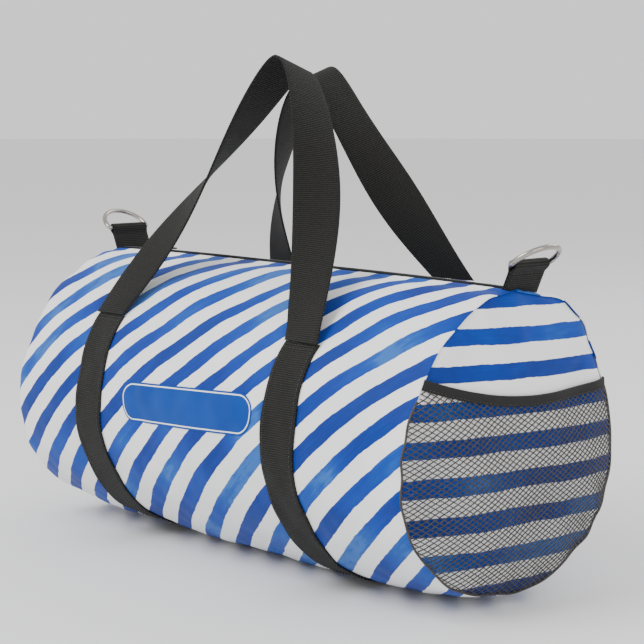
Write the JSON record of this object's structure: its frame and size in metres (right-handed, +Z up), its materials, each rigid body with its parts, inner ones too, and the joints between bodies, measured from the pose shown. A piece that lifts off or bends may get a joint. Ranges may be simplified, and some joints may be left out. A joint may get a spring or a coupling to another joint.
{
  "type": "barrel duffel bag",
  "caption": "Soft round barrel duffel bag with domed ends, full-length top zip, webbing carry loops sewn round the belly, wire rings at the ends and a net pocket on one end.",
  "frame": {"origin": "centre of the footprint, on the surface that the two belly bands rest on", "axes": "+X along the barrel towards the end with the net pocket, +Y to the back, +Z up"},
  "size_m": [0.5638, 0.2512, 0.4211],
  "materials": {
    "striped_fabric": "matte plain-weave polyester, printed with hand-painted blue stripes on off-white",
    "lining_fabric": "matte light grey lining",
    "binding_tape": "matte black woven tape",
    "zip_tape": "matte black woven zip tape",
    "zip_coil": "satin black nylon coil",
    "zip_metal": "satin black enamel",
    "webbing": "ribbed black polypropylene webbing with a slight sheen",
    "ring_metal": "bright nickel plate",
    "pocket_net": "black knitted nylon net",
    "elastic_binding": "matte black folded elastic",
    "label_print": "matte blue print with a white keyline"
  },
  "bodies": {
    "bag": {"body_panel": "striped_fabric", "end_panel_left": "striped_fabric", "end_panel_right": "striped_fabric", "body_lining": "lining_fabric", "end_lining_left": "lining_fabric", "end_lining_right": "lining_fabric", "seam_binding_left": "binding_tape", "seam_binding_right": "binding_tape", "zipper_tape_front": "zip_tape", "zipper_tape_rear": "zip_tape", "zipper_coil_front": "zip_coil", "zipper_coil_rear": "zip_coil", "belly_band_left": "webbing", "belly_band_right": "webbing", "ring_tab_left": "webbing", "ring_tab_right": "webbing", "mesh_pocket": "pocket_net", "pocket_binding": "elastic_binding", "name_label": "label_print"},
    "front_handle": {"handle_front": "webbing"},
    "rear_handle": {"handle_rear": "webbing"},
    "slider": {"zipper_slider": "zip_metal"},
    "pull": {"zipper_pull": "zip_metal"},
    "ring_left": {"d_ring_left": "ring_metal"},
    "ring_right": {"d_ring_right": "ring_metal"}
  },
  "joints": [
    {"name": "front_handle_swing", "type": "hinge", "parent": "bag", "child": "front_handle", "pos_m": [0, -0.10039, 0.20004], "axis": [1, 0, 0], "range_deg": [0, 153]},
    {"name": "rear_handle_swing", "type": "hinge", "parent": "bag", "child": "rear_handle", "pos_m": [0, 0.10039, 0.20004], "axis": [-1, 0, 0], "range_deg": [0, 151]},
    {"name": "zip_slide", "type": "slide", "parent": "bag", "child": "slider", "axis": [1, 0, 0], "range_m": [0, 0.388]},
    {"name": "pull_flip", "type": "hinge", "parent": "slider", "child": "pull", "pos_m": [-0.194, 0, 0.2478], "axis": [0, -1, 0], "range_deg": [0, 180]},
    {"name": "left_ring_swing", "type": "hinge", "parent": "bag", "child": "ring_left", "pos_m": [-0.25861, 0.012, 0.26191], "axis": [0, -1, 0], "range_deg": [-131, 94]},
    {"name": "right_ring_swing", "type": "hinge", "parent": "bag", "child": "ring_right", "pos_m": [0.25861, 0.012, 0.26191], "axis": [0, 1, 0], "range_deg": [-131, 94]}
  ]
}
